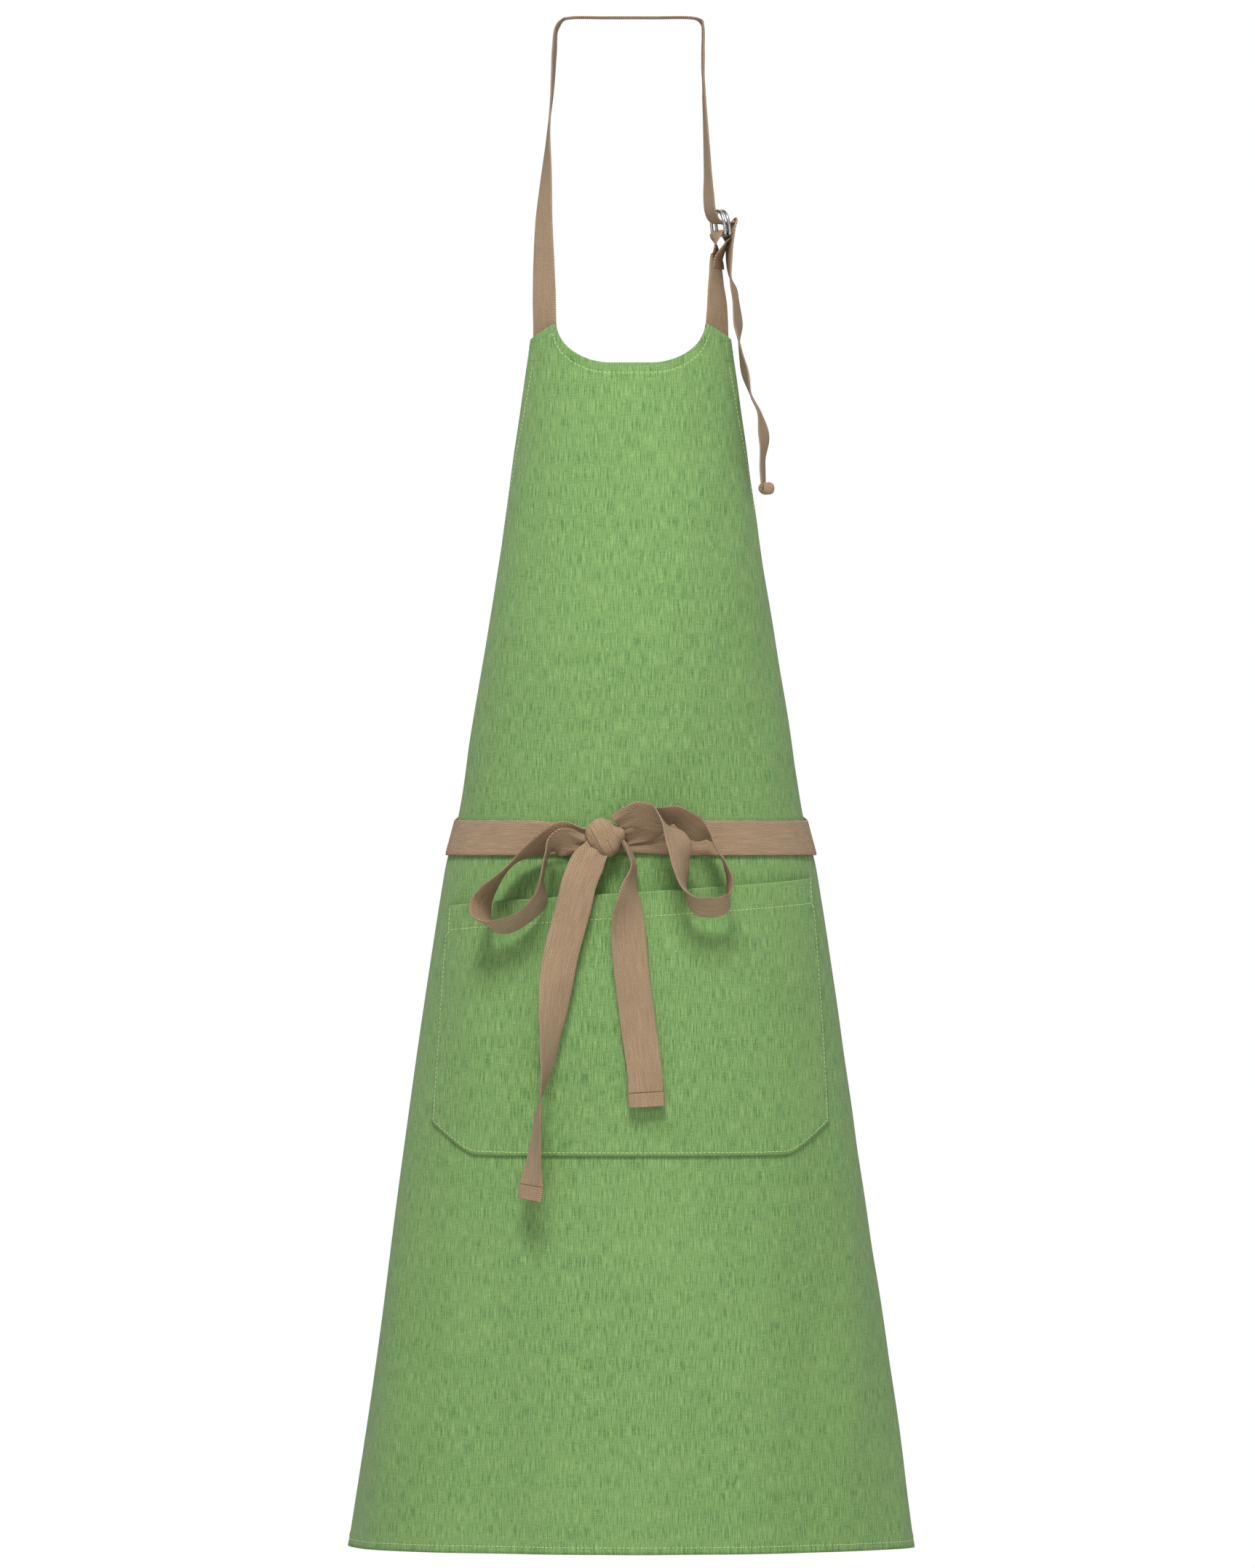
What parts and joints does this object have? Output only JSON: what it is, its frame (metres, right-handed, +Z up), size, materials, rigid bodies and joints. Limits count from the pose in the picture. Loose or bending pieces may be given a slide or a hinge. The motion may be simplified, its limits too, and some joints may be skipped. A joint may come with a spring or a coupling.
{
  "type": "bib apron",
  "caption": "Long bib apron in heathered cotton, worn shape, with a patch pocket, a neck strap on two D-rings and waist ties knotted in a front bow.",
  "frame": {"origin": "under the middle of the neck strap, where the wearer's neck or a hook holds the apron up", "axes": "+Z up, front of the apron towards -Y, +X towards the D-rings (the right of the front view)"},
  "size_m": [0.4018, 0.2439, 1.0816],
  "materials": {
    "cotton_cloth": "heathered green plain weave, matte",
    "cotton_tape": "beige herringbone cotton tape, matte",
    "ring_steel": "bright nickel-plated wire"
  },
  "bodies": {
    "apron": {"body_panel": "cotton_cloth", "bottom_hem": "cotton_cloth", "neckline_facing": "cotton_cloth", "armhole_hem_left": "cotton_cloth", "side_hem_left": "cotton_cloth", "armhole_hem_right": "cotton_cloth", "side_hem_right": "cotton_cloth", "pocket_panel": "cotton_cloth", "pocket_mouth_hem": "cotton_cloth", "pocket_edge_fold": "cotton_cloth", "neck_strap": "cotton_tape", "neck_strap_short": "cotton_tape", "waist_tie_left": "cotton_tape", "waist_tie_right": "cotton_tape", "bow_knot": "cotton_tape"},
    "strap_tail": {"neck_strap_tail": "cotton_tape", "tail_end_knot": "cotton_tape"},
    "d_rings": {"d_ring_inner": "ring_steel", "d_ring_outer": "ring_steel"},
    "loop_left": {"bow_loop_left": "cotton_tape"},
    "loop_right": {"bow_loop_right": "cotton_tape"},
    "tail_left": {"bow_tail_left": "cotton_tape", "tail_end_fold_left": "cotton_tape"},
    "tail_right": {"bow_tail_right": "cotton_tape", "tail_end_fold_right": "cotton_tape"}
  },
  "joints": [
    {"name": "strap_tail_swing", "type": "hinge", "parent": "apron", "child": "strap_tail", "pos_m": [0.06734, -0.03695, -0.1455], "axis": [0.3011, -0.9536, 0], "range_deg": [0, 30]},
    {"name": "d_rings_tilt", "type": "hinge", "parent": "apron", "child": "d_rings", "pos_m": [0.064, -0.038, -0.154], "axis": [-0.3011, 0.9536, 0], "range_deg": [0, 6]},
    {"name": "loop_left_lift", "type": "hinge", "parent": "apron", "child": "loop_left", "pos_m": [-0.016, -0.1062, -0.579], "axis": [0, 1, 0], "range_deg": [0, 40]},
    {"name": "loop_right_lift", "type": "hinge", "parent": "apron", "child": "loop_right", "pos_m": [-0.016, -0.1062, -0.579], "axis": [0, -1, 0], "range_deg": [0, 40]},
    {"name": "tail_left_lift", "type": "hinge", "parent": "apron", "child": "tail_left", "pos_m": [-0.016, -0.1062, -0.579], "axis": [-1, 0, 0], "range_deg": [0, 60]},
    {"name": "tail_right_lift", "type": "hinge", "parent": "apron", "child": "tail_right", "pos_m": [-0.016, -0.1062, -0.579], "axis": [-1, 0, 0], "range_deg": [0, 60]}
  ]
}
